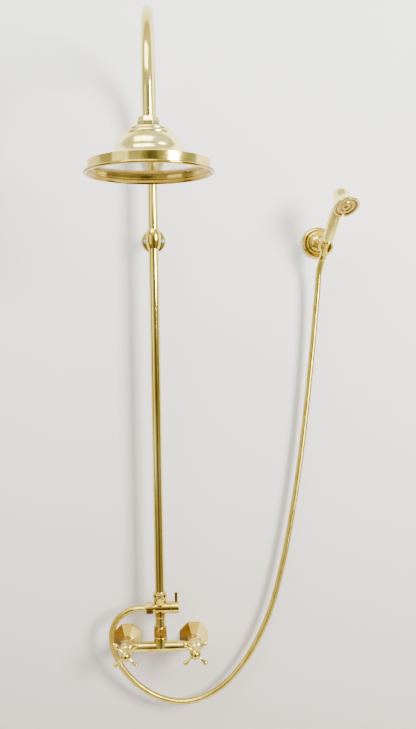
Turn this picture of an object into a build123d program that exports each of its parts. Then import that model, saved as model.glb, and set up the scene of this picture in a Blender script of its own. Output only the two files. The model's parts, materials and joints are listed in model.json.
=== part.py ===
from build123d import *
import math
import os

# A wall-mounted rainfall shower column in brass: a two-handle valve on two inlets, a diverter, a
# riser with a swan neck and a tilting rain head, and a hand shower on a metal hose with its holder.
#
# Frame: X to the right, +Y into the wall, +Z up, millimetres. The origin is on the wall's surface,
# midway between the two water inlets.

# ------------------------------------------------------------------ driving dimensions
INLET_SPACING = 150.0          # standard distance between the hot and cold inlets
AXIS_OUT = 60.0                # riser, valve bar and diverter axes stand this far off the wall
DIVERTER_Z = 87.0              # height of the diverter's axis above the inlets
BRACKET_Z = 892.0              # height of the riser's wall bracket
SPRING_Z = 1124.0              # where the swan neck begins to bend
HEAD_REACH = 359.0             # from the riser's axis to the rain head's axis
BALL_Z = 1062.0                # centre of the rain head's ball joint
HEAD_TILT = 1.0                # the rain head hangs this many degrees front up
PIPE_R = 10.65                 # half-inch brass tube, 21.3 mm outside
PIPE_BORE_R = 9.15
HEAD_R = 114.5                 # outer lip of the rain head
ESCUTCHEON_R = 35.2            # circumradius of the octagonal escutcheons
HOSE_R = 7.0                   # metal shower hose, 14 mm outside
HOLDER_X = 364.3               # hand shower holder, on the wall
HOLDER_Z = 883.9
INLET_THREAD_R = 10.4775       # half-inch pipe thread, major radius
RUNNING_GAP = 0.05             # radial clearance of a turning fit
CLEAR = 0.3                    # gap between curved faces on different bodies
ARM_ANGLES = (45, 135, 225, 315)

# The hand shower lies in its cradle with its handle along HANDLE_AXIS; it sprays along FACE_NORMAL.
CRADLE_CENTRE = Vector(370.8, -70.0, 871.2)
HANDLE_AXIS = Vector(0.204, -0.45, 0.869).normalized()
FACE_NORMAL = Vector(0.200, -0.560, -0.804).normalized()
ELBOW_AT = 117.0               # along the handle's axis, where the head's axis crosses it
FACE_OUT = 34.2                # from there to the spray face's rim

VIA = "via"                    # marks the middle point of an arc in an outline

HOSE_INLET_X = -34.0           # the hose leaves its ferrule at the diverter here
HOSE_END_AT = -31.0            # and enters its ferrule at the hand shower here, along the handle

# The hose's route, from the diverter round below the valve and up to the hand shower.
HOSE_ROUTE = [
    (-34.0, -60.0, 87.0),
    (-56.0, -60.0, 87.0),
    (-79.5, -59.0, 77.5),
    (-97.5, -57.0, 59.5),
    (-107.0, -54.5, 36.0),
    (-107.5, -51.5, 6.0),
    (-98.0, -48.5, -28.0),
    (-78.0, -45.5, -63.5),
    (-47.0, -42.5, -97.5),
    (-5.0, -40.0, -125.0),
    (44.0, -38.0, -137.5),
    (95.0, -36.0, -129.5),
    (143.0, -34.0, -101.0),
    (184.0, -32.5, -56.0),
    (219.0, -31.0, 0.0),
    (248.5, -29.5, 66.5),
    (271.0, -28.0, 147.0),
    (292.0, -27.0, 245.0),
    (313.5, -26.0, 372.0),
    (332.0, -26.5, 512.0),
    (346.8, -30.0, 655.0),
    (355.0, -34.0, 748.0),
    (358.6, -38.6, 796.0),
]


# ------------------------------------------------------------------ helpers
def outline(corners):
    """Closed face in the XZ plane from (radius, height) corners, with arcs through the VIA points."""
    edges = []
    start = corners[0]
    middle = None
    for corner in list(corners[1:]) + [corners[0]]:
        if corner[-1] == VIA:
            middle = corner[:2]
            continue
        if middle is None:
            edges.append(Line(start, corner))
        else:
            edges.append(ThreePointArc(start, middle, corner))
        start = corner
        middle = None
    return Plane.XZ * make_face(edges)


def turned(corners, plane=Plane.XY):
    """Solid turned about the plane's normal; radii from the normal, heights along it."""
    return plane.location * revolve(outline(corners), Axis.Z)


def ring(inner, outer, low, high, plane=Plane.XY):
    """Plain tube or, with inner 0, plain rod."""
    return turned([(inner, low), (outer, low), (outer, high), (inner, high)], plane)


def chamfered(inner, outer, low, high, bevel, plane=Plane.XY):
    """Tube or rod with both outer edges bevelled."""
    corners = [(inner, low), (outer - bevel, low), (outer, low + bevel), (outer, high - bevel)]
    return turned(corners + [(outer - bevel, high), (inner, high)], plane)


def prism(corner_radius, sides, turn, low, high, plane=Plane.XY):
    """Regular prism along the plane's normal, its corners on a circle."""
    base = Pos(0, 0, low) * RegularPolygon(corner_radius, sides, rotation=turn)
    return plane.location * extrude(base, high - low)


def frustum(low_radius, high_radius, sides, turn, low, high, plane=Plane.XY):
    """Regular tapered prism, its corners on two circles."""
    base = Pos(0, 0, low) * RegularPolygon(low_radius, sides, rotation=turn)
    top = Pos(0, 0, high) * RegularPolygon(high_radius, sides, rotation=turn)
    return plane.location * loft([base, top], ruled=True)


def polygon_radius(across_flats, sides):
    """Corner radius of a regular polygon from its width across flats."""
    return across_flats / 2 / math.cos(math.pi / sides)


def save(name, shape):
    """Write one node's STEP file."""
    export_step(shape, os.path.join("parts", name + ".step"))


def group(shapes):
    """Several separate solids as one node."""
    return Compound(children=list(shapes))


# ------------------------------------------------------------------ planes
UPRIGHT = Plane((0, -AXIS_OUT, 0))
BAR = Plane((0, -AXIS_OUT, 0), x_dir=(0, 1, 0), z_dir=(1, 0, 0))
DIVERTER = Plane((0, -AXIS_OUT, DIVERTER_Z), x_dir=(0, 1, 0), z_dir=(1, 0, 0))
HEAD = Plane((0, -AXIS_OUT - HEAD_REACH, 0))
BALL = Plane((0, -AXIS_OUT - HEAD_REACH, BALL_Z))
HANDLE = Plane(CRADLE_CENTRE, z_dir=HANDLE_AXIS)
ELBOW = Plane(CRADLE_CENTRE + HANDLE_AXIS * ELBOW_AT, z_dir=FACE_NORMAL)
SIDES = {"hot": -INLET_SPACING / 2, "cold": INLET_SPACING / 2}


def hung(shape):
    """A part of the rain head, tilted about the ball's centre."""
    centre = Pos(0, -AXIS_OUT - HEAD_REACH, BALL_Z)
    return centre * Rot(-HEAD_TILT, 0, 0) * centre.inverse() * shape


def off_wall(x, z):
    """Plane on the wall whose normal points into the room."""
    return Plane((x, 0, z), x_dir=(1, 0, 0), z_dir=(0, -1, 0))


# ------------------------------------------------------------------ inlets and taps
UNION_SEAT = 39.0              # the inlet connector's sealing face, off the wall
BARREL_BACK = 41.0             # back of the valve body's barrels, off the wall
BARREL_FRONT = 76.0
BARREL_R = 13.0
BARREL_BORE_R = 10.0
DISC_AT = 50.0                 # back of the fixed ceramic disc
DISC_THICK = 2.5
BONNET_FRONT = 90.0
ARM_PLANE = 106.0              # the cross handles' arms, off the wall
SPINDLE_R = 4.5
OCTAGON_TURN = 22.5            # a flat on top


def inlet_connector(wall):
    """Straight union: tail into the wall, tube through the escutcheon, flange for the union nut."""
    corners = [(6.5, -15), (INLET_THREAD_R - 1, -15), (INLET_THREAD_R, -14), (INLET_THREAD_R, -0.5)]
    corners += [(9.5, 0), (9.5, UNION_SEAT - 3), (11.5, UNION_SEAT - 3), (11.5, UNION_SEAT)]
    return turned(corners + [(6.5, UNION_SEAT)], wall)


def escutcheon(wall):
    """Octagonal faceted cone, hollow, with a round hole at its nose for the connector."""
    wall_thickness = 1.6
    nose = 27.0
    nose_radius = 15.4
    outer = frustum(ESCUTCHEON_R, ESCUTCHEON_R - 1.2, 8, OCTAGON_TURN, 0, 2, wall)
    outer += frustum(ESCUTCHEON_R - 1.2, nose_radius, 8, OCTAGON_TURN, 2, nose, wall)
    hollow_radius = ESCUTCHEON_R - 1.2 - wall_thickness
    inner_nose = nose_radius - wall_thickness
    hollow = frustum(hollow_radius, inner_nose, 8, OCTAGON_TURN, 0, nose - wall_thickness, wall)
    return outer - hollow - ring(0, 9.7, nose - 5, nose + 5, wall)


def union_nut(wall):
    """Octagonal nut that pulls the connector's flange against the valve body."""
    nut = prism(15.6, 8, OCTAGON_TURN, 28.2, 42.5, wall)
    nut = nut & chamfered(0, 15.6, 28.2, 42.5, 1.2, wall)
    bore = turned([(0, 28), (9.7, 28), (9.7, 35.9), (12.0, 35.9), (12.0, 43), (0, 43)], wall)
    return nut - bore


def inlet_washer(wall):
    return ring(6.5, 11.0, UNION_SEAT, BARREL_BACK, wall)


def valve_body():
    """One casting: waisted bar, a barrel at each inlet and the outlet neck, all hollow."""
    half = INLET_SPACING / 2
    bar = turned([(0, -half), (9.3, -half), (12.2, 0, VIA), (9.3, half), (0, half)], BAR)
    neck = [(0, 0), (14.7, 0), (14.7, 22.4), (13.7, 23.4), (12.2, 23.4), (12.2, 36), (0, 36)]
    neck = turned(neck, UPRIGHT)
    skirt = turned([(0, 0), (19.0, 0), (19.0, 5.5), (16.4, 9.0, VIA), (14.7, 15.0), (0, 15.0)], UPRIGHT)
    body = bar + neck + (skirt & ring(0, 12.4, -30, 30, BAR))
    water = ring(0, 6.0, -half, half, BAR) + ring(0, 8.0, 0, 37, UPRIGHT)
    for x in SIDES.values():
        wall = off_wall(x, 0)
        corners = [(0, BARREL_BACK), (11.9, BARREL_BACK), (11.9, 44), (BARREL_R, 44), (BARREL_R, 47)]
        corners += [(14.2, 49), (14.2, 51), (BARREL_R, 53), (BARREL_R, 66), (14.0, 68)]
        corners += [(14.0, BARREL_FRONT - 1), (13.0, BARREL_FRONT), (0, BARREL_FRONT)]
        body += turned(corners, wall)
        water += ring(0, 6.5, BARREL_BACK - 1, DISC_AT, wall)
        water += ring(0, BARREL_BORE_R, DISC_AT, BARREL_FRONT + 1, wall)
    return body - water


def headwork(wall):
    """Screwed-in bonnet: a sleeve over the ceramic discs and the stepped rings seen in front."""
    cavity = DISC_AT + DISC_THICK
    cavity_end = cavity + 6.0
    bore = SPINDLE_R + RUNNING_GAP
    corners = [(8.5, cavity), (BARREL_BORE_R - 0.05, cavity), (BARREL_BORE_R - 0.05, BARREL_FRONT)]
    corners += [(13.2, BARREL_FRONT), (13.2, 79.5), (11.4, 80.5), (11.4, 83), (12.4, 84), (12.4, 86.5)]
    corners += [(10.4, 88), (9.6, BONNET_FRONT), (bore, BONNET_FRONT), (bore, cavity_end), (8.5, cavity_end)]
    return turned(corners, wall)


def ceramic_disc(wall, low, radius):
    """Disc with two opposite quarter-circle ports."""
    disc = ring(0, radius, low, low + DISC_THICK, wall)
    for turn in (0, 180):
        port = Rot(0, 0, turn) * Pos(radius * 0.55, 0, low - 1) * Cylinder(
            radius * 0.3, DISC_THICK + 2, align=(Align.CENTER, Align.CENTER, Align.MIN)
        )
        disc -= wall.location * port
    return disc


def spindle(wall):
    """Stem that turns the moving disc; the handle sits on its front end."""
    back = DISC_AT + 2 * DISC_THICK + 0.1
    corners = [(0, back), (7.5, back), (7.5, back + 2.8), (SPINDLE_R, back + 2.8), (SPINDLE_R, 109)]
    return turned(corners + [(2.0, 109), (2.0, 96), (0, 96)], wall)


def cross_handle(wall):
    """Barrel hub with four teardrop arms, bored for the spindle and open in front for the cap."""
    corners = [(0, BONNET_FRONT + 0.5), (9.2, BONNET_FRONT + 0.5), (10.8, 92.5), (10.8, 94.5), (10.0, 96)]
    corners += [(11.3, 99), (11.9, 103), (11.9, 109), (11.3, 112), (10.2, 115), (10.2, 117)]
    corners += [(8.2, 119), (0, 119)]
    handle = turned(corners, wall)
    arm = [(0, 6), (3.4, 6), (2.7, 12), (2.7, 18), (5.51, 28.53), (4.03, 34.03, VIA)]
    arm += [(0.6, 35.668), (0, 35.668)]
    for angle in ARM_ANGLES:
        direction = (math.cos(math.radians(angle)), math.sin(math.radians(angle)), 0)
        radial = Plane((0, 0, ARM_PLANE), x_dir=(0, 0, 1), z_dir=direction)
        handle += wall.location * turned(arm, radial)
    handle = handle - ring(0, SPINDLE_R + 0.02, 90, 109, wall)
    handle = handle - ring(0, 2.1, 108, 113, wall)
    return handle - ring(0, 7.0, 112.5, 120, wall)


def handle_screw(wall):
    """Screw into the spindle's end, under the cap."""
    shank = ring(0, 1.95, 98, 113, wall)
    return shank + ring(0, 4.0, 112.6, 115.4, wall)


def index_cap(wall):
    """Domed cap pressed into the hub."""
    corners = [(4.4, 112.6), (6.98, 112.6), (6.98, 119), (7.6, 119.2), (7.2, 120.6), (4.4, 122.4, VIA)]
    return turned(corners + [(0.8, 123.1), (0, 123.1), (0, 120.5), (4.4, 119.0)], wall)


# ------------------------------------------------------------------ outlet and diverter
NUT_LOW = 23.7
NUT_HIGH = 44.8
OUTLET_SEAT = 36.0
TUBE_TOP = 66.8
DIVERTER_R = 13.25
SPOOL_R = 6.0
KNOB_LEFT = 24.3
KNOB_RIGHT = 41.6
LEVER_X = 35.5


def outlet_union_nut():
    """Hexagonal nut between the valve's outlet neck and the extension tube."""
    nut = prism(polygon_radius(28.0, 6), 6, 30, NUT_LOW, NUT_HIGH, UPRIGHT)
    nut = nut & chamfered(0, 15.6, NUT_LOW, NUT_HIGH, 1.4, UPRIGHT)
    bore = [(0, NUT_LOW - 1), (12.3, NUT_LOW - 1), (12.3, 41.1), (11.45, 41.1), (11.45, 46), (0, 46)]
    bore = turned(bore, UPRIGHT)
    return nut - bore


def outlet_washer():
    return ring(8.0, 12.0, OUTLET_SEAT, OUTLET_SEAT + 2, UPRIGHT)


def extension_tube():
    """Short tube with a flange under the union nut; its top plugs into the diverter."""
    corners = [(8.0, 38), (12.2, 38), (12.2, 41), (11.3, 41), (11.3, TUBE_TOP), (9.9, TUBE_TOP)]
    tube = turned(corners + [(9.9, TUBE_TOP + 7), (8.0, TUBE_TOP + 7)], UPRIGHT)
    return tube - ring(0, GRUB_R, 0, 13, TUBE_GRUB)


def diverter_body():
    """Upright barrel crossed by the diverter's barrel, with a hose nipple on the left."""
    upright = turned(
        [(0, TUBE_TOP), (12.0, TUBE_TOP), (12.4, 68), (12.4, 96), (13.8, 104), (11.9, 104), (11.9, 114), (0, 114)], UPRIGHT
    )
    cross = turned([(0, -11), (12.2, -11), (DIVERTER_R, -9.5), (DIVERTER_R, 24), (0, 24)], DIVERTER)
    nipple = turned([(0, -25.5), (9.4, -25.5), (9.4, -17), (8.2, -16), (8.2, -9), (0, -9)], DIVERTER)
    body = upright + cross + nipple
    body -= ring(0, 10.0, TUBE_TOP - 1, TUBE_TOP + 8, UPRIGHT)
    body -= ring(0, 6.5, TUBE_TOP, 98, UPRIGHT)
    body -= ring(0, PIPE_R + 0.05, 97, 115, UPRIGHT)
    body -= ring(0, 9.5, -8, 25, DIVERTER)
    return body - ring(0, 4.5, -27, 0, DIVERTER)


def diverter_sleeve():
    """Ported sleeve that the spool turns in."""
    sleeve = ring(SPOOL_R + RUNNING_GAP, 9.45, -7.5, 23.5, DIVERTER)
    return sleeve - ring(0, 4.0, 60, 110, UPRIGHT)


def diverter_spool():
    """Turning spool with a cross port; its stem carries the knob."""
    spool = ring(0, SPOOL_R, -7, 31, DIVERTER)
    port = Pos(0, -AXIS_OUT, DIVERTER_Z) * Cylinder(3.2, 30)
    return spool - port - ring(0, 3.2, -8, 0, DIVERTER)


def diverter_knob():
    """Knob in line with the diverter's barrel, closed at its right end."""
    knob = chamfered(0, DIVERTER_R, KNOB_LEFT, KNOB_RIGHT, 0.6, DIVERTER)
    knob -= ring(0, SPOOL_R + 0.02, KNOB_LEFT - 1, 31, DIVERTER)
    lever_hole = Pos(LEVER_X, -AXIS_OUT, DIVERTER_Z + 6) * Cylinder(
        3.0, 12, align=(Align.CENTER, Align.CENTER, Align.MIN)
    )
    return knob - lever_hole


def diverter_lever():
    """Pin screwed into the knob."""
    lever = Plane((LEVER_X, -AXIS_OUT, DIVERTER_Z))
    top = 34.2
    corners = [(0, 6), (2.98, 6), (2.98, 13.4), (3.4, 13.5), (3.4, top - 1), (2.6, top), (0, top)]
    return turned(corners, lever)


def compression_nut():
    """Faceted nut that grips the riser; narrow below and wide above."""
    nut = frustum(14.6, 15.8, 8, OCTAGON_TURN, 104.2, 112, UPRIGHT)
    nut += frustum(15.8, 15.0, 8, OCTAGON_TURN, 112, 120, UPRIGHT)
    nut += ring(0, 14.0, 120, 123, UPRIGHT)
    corners = [(0, 104), (11.95, 104), (11.95, 114.6), (PIPE_R + 0.05, 118.5), (PIPE_R + 0.05, 124), (0, 124)]
    return nut - turned(corners, UPRIGHT)


def compression_olive():
    """Soft ring squeezed onto the riser."""
    inner = PIPE_R + 0.02
    corners = [(inner, 114.1), (11.8, 114.1), (11.8, 114.5), (inner + 0.2, 117.6), (inner, 117.6)]
    return turned(corners, UPRIGHT)


# ------------------------------------------------------------------ riser and wall bracket
RISER_LOW = 98.0
NECK_END = 1080.0              # lower end of the swan neck, at the rain head
COLLAR_HALF = 21.0
SCREW_OFFSET = 19.0
BRACKET_SEAT = 3.4             # under the screws' heads


def riser_pipe():
    return ring(PIPE_BORE_R, PIPE_R, RISER_LOW, BRACKET_Z - 2, UPRIGHT)


def swan_neck():
    """Tube that rises from the bracket, turns over in a half circle and comes down to the head."""
    far = -AXIS_OUT - HEAD_REACH
    path = Polyline((0, -AXIS_OUT, BRACKET_Z - 2), (0, -AXIS_OUT, SPRING_Z))
    arch = ThreePointArc(
        (0, -AXIS_OUT, SPRING_Z),
        (0, -AXIS_OUT - HEAD_REACH / 2, SPRING_Z + HEAD_REACH / 2),
        (0, far, SPRING_Z),
    )
    path = Wire([*path.edges(), arch.edge(), Line((0, far, SPRING_Z), (0, far, NECK_END)).edge()])
    start = Plane((0, -AXIS_OUT, BRACKET_Z - 2))
    tube = sweep(start * Circle(PIPE_R), path) - sweep(start * Circle(PIPE_BORE_R), path)
    spigot = ring(7.4, PIPE_BORE_R - 0.05, BRACKET_Z - 32, BRACKET_Z + 8, UPRIGHT)
    return tube + spigot + ring(8.0, PIPE_BORE_R + 0.5, BRACKET_Z - 2, BRACKET_Z + 8, UPRIGHT)


def bracket_flange():
    """Round wall plate with a domed face and two screw holes."""
    wall = off_wall(0, BRACKET_Z)
    plate = turned([(0, 0), (26, 0), (26, 2.2), (25, 3.6), (16, 5.4, VIA), (9, 6.2), (0, 6.2)], wall)
    for x in (-SCREW_OFFSET, SCREW_OFFSET):
        plate -= ring(0, 2.3, -1, 10, off_wall(x, BRACKET_Z))
        plate -= ring(0, 4.3, BRACKET_SEAT, 10, off_wall(x, BRACKET_Z))
    return plate - ring(0, 4.0, -1, 10, wall)


def bracket_collar():
    """Barrel-shaped collar round the riser, on a short stem screwed into the wall plate."""
    corners = [(PIPE_R + 0.05, -COLLAR_HALF), (12.0, -COLLAR_HALF), (12.6, -COLLAR_HALF + 1.5)]
    corners += [(16.2, 0, VIA), (12.6, COLLAR_HALF - 1.5), (12.0, COLLAR_HALF), (PIPE_R + 0.05, COLLAR_HALF)]
    collar = turned(corners, Plane((0, -AXIS_OUT, BRACKET_Z)))
    wall = off_wall(0, BRACKET_Z)
    stem = turned([(0, 6.2), (9.0, 6.2), (6.6, 12, VIA), (6.2, 20), (6.2, AXIS_OUT), (0, AXIS_OUT)], wall)
    stem += ring(0, 3.9, 0.5, 8, wall)
    stem -= Plane((0, -AXIS_OUT, BRACKET_Z)).location * Cylinder(PIPE_R + 2, 60)
    return collar + stem - ring(0, GRUB_R, PIPE_R, 20, COLLAR_GRUB)


def wood_screw(x, z, seat, depth):
    """Round-headed screw through a wall plate; its shank goes into the wall."""
    wall = off_wall(x, z)
    corners = [(0, -depth), (0.6, -depth), (2.0, -depth + 4), (2.0, -1.0), (1.8, -0.6), (1.8, seat)]
    corners += [(4.0, seat), (2.9, seat + 1.7, VIA)]
    return turned(corners + [(0.8, seat + 2.4), (0, seat + 2.4)], wall)


GRUB_R = 1.5
TUBE_GRUB = Plane((0, -AXIS_OUT, 62.5), z_dir=(0, -1, 0))
COLLAR_GRUB = Plane((0, -AXIS_OUT, BRACKET_Z), z_dir=(-1, 0, 0))
HOLDER_GRUB = Plane((HOLDER_X, -2.0, HOLDER_Z), z_dir=(0, 0, -1))


def grub_screws():
    """Headless screws in the extension tube, the bracket's collar and the holder's rosette."""
    places = ((TUBE_GRUB, 8.6, 10.9), (COLLAR_GRUB, PIPE_R + 0.1, 14.6), (HOLDER_GRUB, 24.6, 33.0))
    return group(ring(0, GRUB_R - 0.02, tip, head, plane) for plane, tip, head in places)


# ------------------------------------------------------------------ rain head
BALL_R = 11.0
SEAT_R = BALL_R + CLEAR
SEAT_OUTER_R = 13.7
CUP_R = SEAT_OUTER_R + CLEAR
SHELL_TOP = 1059.0
NUT_TOP = 1071.5
NUT_BOTTOM = 1052.5
SHANK_R = 6.3
PLATE_TOP = 989.5
SKIRT_R = 105.6                # the shell's skirt, threaded outside for the rim
PLATE_R = 104.0


def on_sphere(radius, r):
    """Depth below the ball's centre of a sphere's wall at distance r from the axis."""
    return math.sqrt(radius * radius - r * r)


def arm_ball():
    """Fitting in the swan neck's end that carries the ball; bored for the water."""
    neck_depth = on_sphere(BALL_R, SHANK_R)
    corners = [(4.0, -on_sphere(BALL_R, 4.0)), (BALL_R, 0, VIA), (SHANK_R, neck_depth), (SHANK_R, 12.4)]
    corners += [(PIPE_R, 12.4), (PIPE_R, 18), (PIPE_BORE_R - 0.05, 18), (PIPE_BORE_R - 0.05, 30), (4.0, 30)]
    return turned(corners, BALL)


def ball_seat_washer():
    """Bowl-shaped seat below the ball."""
    low, edge = 5.5, 10.6
    inner = [(low, -on_sphere(SEAT_R, low)), (8.5, -on_sphere(SEAT_R, 8.5), VIA)]
    inner += [(edge, -on_sphere(SEAT_R, edge))]
    outer_edge = 12.9
    outer = [(outer_edge, -on_sphere(SEAT_OUTER_R, outer_edge)), (10, -on_sphere(SEAT_OUTER_R, 10), VIA)]
    return turned(inner + outer + [(low, -on_sphere(SEAT_OUTER_R, low))], BALL)


def swivel_nut():
    """Octagonal nut that holds the head on the ball."""
    nut = frustum(20.4, 20.4, 8, OCTAGON_TURN, NUT_BOTTOM, NUT_BOTTOM + 11, HEAD)
    nut += frustum(20.4, 18.6, 8, OCTAGON_TURN, NUT_BOTTOM + 11, NUT_TOP, HEAD)
    mouth = 7.0
    mouth_r = on_sphere(SEAT_R, mouth)
    top = NUT_TOP - BALL_Z
    shoulder = on_sphere(SEAT_R, 11.2)
    corners = [(0, NUT_BOTTOM - BALL_Z - 1), (15.5, NUT_BOTTOM - BALL_Z - 1), (15.5, shoulder), (11.2, shoulder)]
    corners += [(10.3, on_sphere(SEAT_R, 10.3), VIA), (mouth_r, mouth), (10.6, top)]
    corners += [(10.6, top + 1), (0, top + 1)]
    return nut - turned(corners, BALL)


def head_shell():
    """Spun shell: ball cup, two rings, dome, cove and the short skirt that takes the rim."""
    hole = 5.0
    cup_rim = on_sphere(CUP_R, SHELL_TOP - BALL_Z)
    cup = [(hole, BALL_Z - on_sphere(CUP_R, hole)), (10.5, BALL_Z - on_sphere(CUP_R, 10.5), VIA)]
    cup += [(cup_rim, SHELL_TOP)]
    boss = [(15.4, SHELL_TOP), (15.4, 1052.4)]
    rings = [(35.5, 1052.4), (37.8, 1049.4, VIA), (36.6, 1046.6)]
    rings += [(41.0, 1046.6), (43.4, 1042.6, VIA), (42.0, 1038.6)]
    dome = [(50.0, 1038.2), (51.6, 1036.0), (57.6, 1027.0, VIA), (60.4, 1015.0)]
    cove = [(66.8, 1004.0, VIA), (84.0, 997.8), (103.0, 996.6)]
    skirt = [(SKIRT_R, 996.2), (SKIRT_R, 988.4), (104.2, 988.4), (104.2, 991.2)]
    skirt += [(100.5, 991.2), (99.0, 994.6)]
    ceiling = [(84.0, 995.9), (65.4, 1002.4, VIA), (58.2, 1014.4), (55.6, 1026.2, VIA), (49.0, 1035.6)]
    top = [(36.0, 1036.0), (31.0, 1041.0), (hole, 1041.0)]
    return turned(cup + boss + rings + dome + cove + skirt + ceiling + top, HEAD)


def head_rim():
    """Band and flared lip, screwed onto the shell's skirt; two beads inside."""
    band = [(SKIRT_R + RUNNING_GAP, 995.9), (106.9, 995.9), (107.5, 995.3), (107.5, 980.4), (111.0, 979.2)]
    lip = [(HEAD_R, 977.0, VIA), (112.6, 974.4), (108.6, 974.4)]
    inside = [(106.2, 978.4, VIA), (104.2, 980.6), (105.6, 982.6, VIA), (104.2, 984.6), (104.2, 988.3)]
    return turned(band + lip + inside + [(SKIRT_R + RUNNING_GAP, 988.3)], HEAD)


def head_gasket():
    return ring(100.6, PLATE_R, PLATE_TOP, 991.1, HEAD)


def nozzle_plate():
    """Flat plate inside the rim, with rings of small holes."""
    plate = ring(0, PLATE_R + 0.15, PLATE_TOP - 2.5, PLATE_TOP, HEAD)
    holes = []
    for row in range(1, 7):
        count = 6 * row
        for k in range(count):
            angle = 2 * math.pi * k / count
            x = 15.5 * row * math.cos(angle)
            y = 15.5 * row * math.sin(angle)
            holes.append(Pos(x, y - AXIS_OUT - HEAD_REACH, PLATE_TOP) * Cylinder(1.2, 8))
    return plate - holes


# ------------------------------------------------------------------ hand shower and its holder
CONE_LOW = -20.0
CONE_TOP = 14.0
TAIL_R = 8.9
GRIP_END = 84.0                # the grip's top end, along the handle


def hose_end_nut():
    """Conical swivel nut that sits in the cradle; the hand shower screws into its top."""
    corners = [(6.0, CONE_LOW), (8.2, CONE_LOW), (8.8, CONE_LOW + 1), (11.4, 10), (11.4, CONE_TOP - 1)]
    corners += [(10.6, CONE_TOP), (TAIL_R + RUNNING_GAP, CONE_TOP), (TAIL_R + RUNNING_GAP, 4), (6.0, 4)]
    return turned(corners, HANDLE)


def handset_tail():
    """Threaded spigot of the hand shower, fixed in the bottom of its handle."""
    corners = [(5.0, 6.2), (TAIL_R, 6.2), (TAIL_R, 14.6), (9.6, 14.6), (9.6, 26), (5.0, 26)]
    return turned(corners, HANDLE)


def handset_handle():
    """Slightly swelling grip with a bead at its lower end."""
    corners = [(9.65, 14.7), (11.6, 14.7), (12.4, 15.8, VIA), (11.8, 17.2), (11.7, 18.2)]
    corners += [(13.0, 54, VIA), (12.0, GRIP_END - 1.6), (11.4, GRIP_END), (9.65, GRIP_END)]
    return turned(corners, HANDLE)


def handset_head():
    """Bell-shaped head on the grip's end, open towards the spray face."""
    bell = [(0, -17.389), (0.6, -17.389), (12.304, -12.304, VIA), (17.4, 0), (18.2, 11), (21.0, 20, VIA), (27.0, 27.5)]
    bell += [(28.2, 29.2), (28.2, FACE_OUT - 1.2), (27.0, FACE_OUT), (25.0, FACE_OUT)]
    hollow = [(25.0, 28.6), (17.6, 20, VIA), (15.2, 8), (14.2, 0), (10.041, -10.041, VIA)]
    hollow += [(0.6, -14.187), (0, -14.187)]
    neck = [(0, 76), (9.55, 76), (9.55, GRIP_END + 0.1), (11.3, GRIP_END + 0.1), (10.8, 92, VIA), (12.5, 100)]
    neck = turned(neck + [(0, 100)], HANDLE)
    head = turned(bell + hollow, ELBOW)
    inside = [(0, -14.187), (0.6, -14.187), (10.041, -10.041, VIA), (14.2, 0), (15.2, 8), (0, 8)]
    neck -= turned(inside, ELBOW)
    return (head + neck) - ring(0, 5.0, 70, 114, HANDLE)


def handset_face():
    """Spray plate with concentric steps and small holes."""
    back = FACE_OUT - 4.6
    corners = [(2.1, back), (24.9, back), (24.9, FACE_OUT - 0.8), (22.0, FACE_OUT - 0.8), (21.0, FACE_OUT - 2)]
    corners += [(15.5, FACE_OUT - 2), (14.5, FACE_OUT - 0.8), (11.5, FACE_OUT - 0.8), (10.5, FACE_OUT - 2)]
    plate = turned(corners + [(2.1, FACE_OUT - 2)], ELBOW)
    holes = []
    for radius, count in ((18.2, 20), (7.2, 8)):
        for k in range(count):
            angle = 2 * math.pi * k / count
            place = Pos(radius * math.cos(angle), radius * math.sin(angle), back)
            holes.append(ELBOW.location * place * Cylinder(0.7, 12))
    return plate - holes


def face_screw():
    """Screw that holds the spray plate."""
    corners = [(0, FACE_OUT - 14), (2.0, FACE_OUT - 14), (2.0, FACE_OUT - 2), (3.6, FACE_OUT - 2)]
    return turned(corners + [(2.7, FACE_OUT - 0.6, VIA), (0.6, FACE_OUT), (0, FACE_OUT)], ELBOW)


def holder_base():
    """Plate fixed to the wall; the stepped flange covers it."""
    wall = off_wall(HOLDER_X, HOLDER_Z)
    plate = ring(0, 24, 0, 3, wall) + ring(0, 9, 3, 7, wall)
    for x in (-15.0, 15.0):
        plate -= ring(0, 2.3, -1, 4, off_wall(HOLDER_X + x, HOLDER_Z))
    return plate - ring(0, 4.0, -1, 10, wall)


def holder_flange():
    """Stepped rosette: rim, groove, raised ring and inner dome."""
    wall = off_wall(HOLDER_X, HOLDER_Z)
    rim = [(24.4, 0), (35.2, 0), (35.2, 2.6), (32.6, 7.0, VIA), (27.6, 8.6)]
    steps = [(26.4, 7.4), (25.2, 7.4), (24.2, 10.8, VIA), (21.0, 12.0), (19.6, 11.2)]
    dome = [(13.5, 17.0, VIA), (9.4, 18.6), (6.6, 18.6)]
    inside = [(6.6, 9.0), (22.5, 7.0), (24.4, 5.0)]
    return turned(rim + steps + dome + inside, wall) - ring(0, GRUB_R, 24, 36, HOLDER_GRUB)


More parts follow.
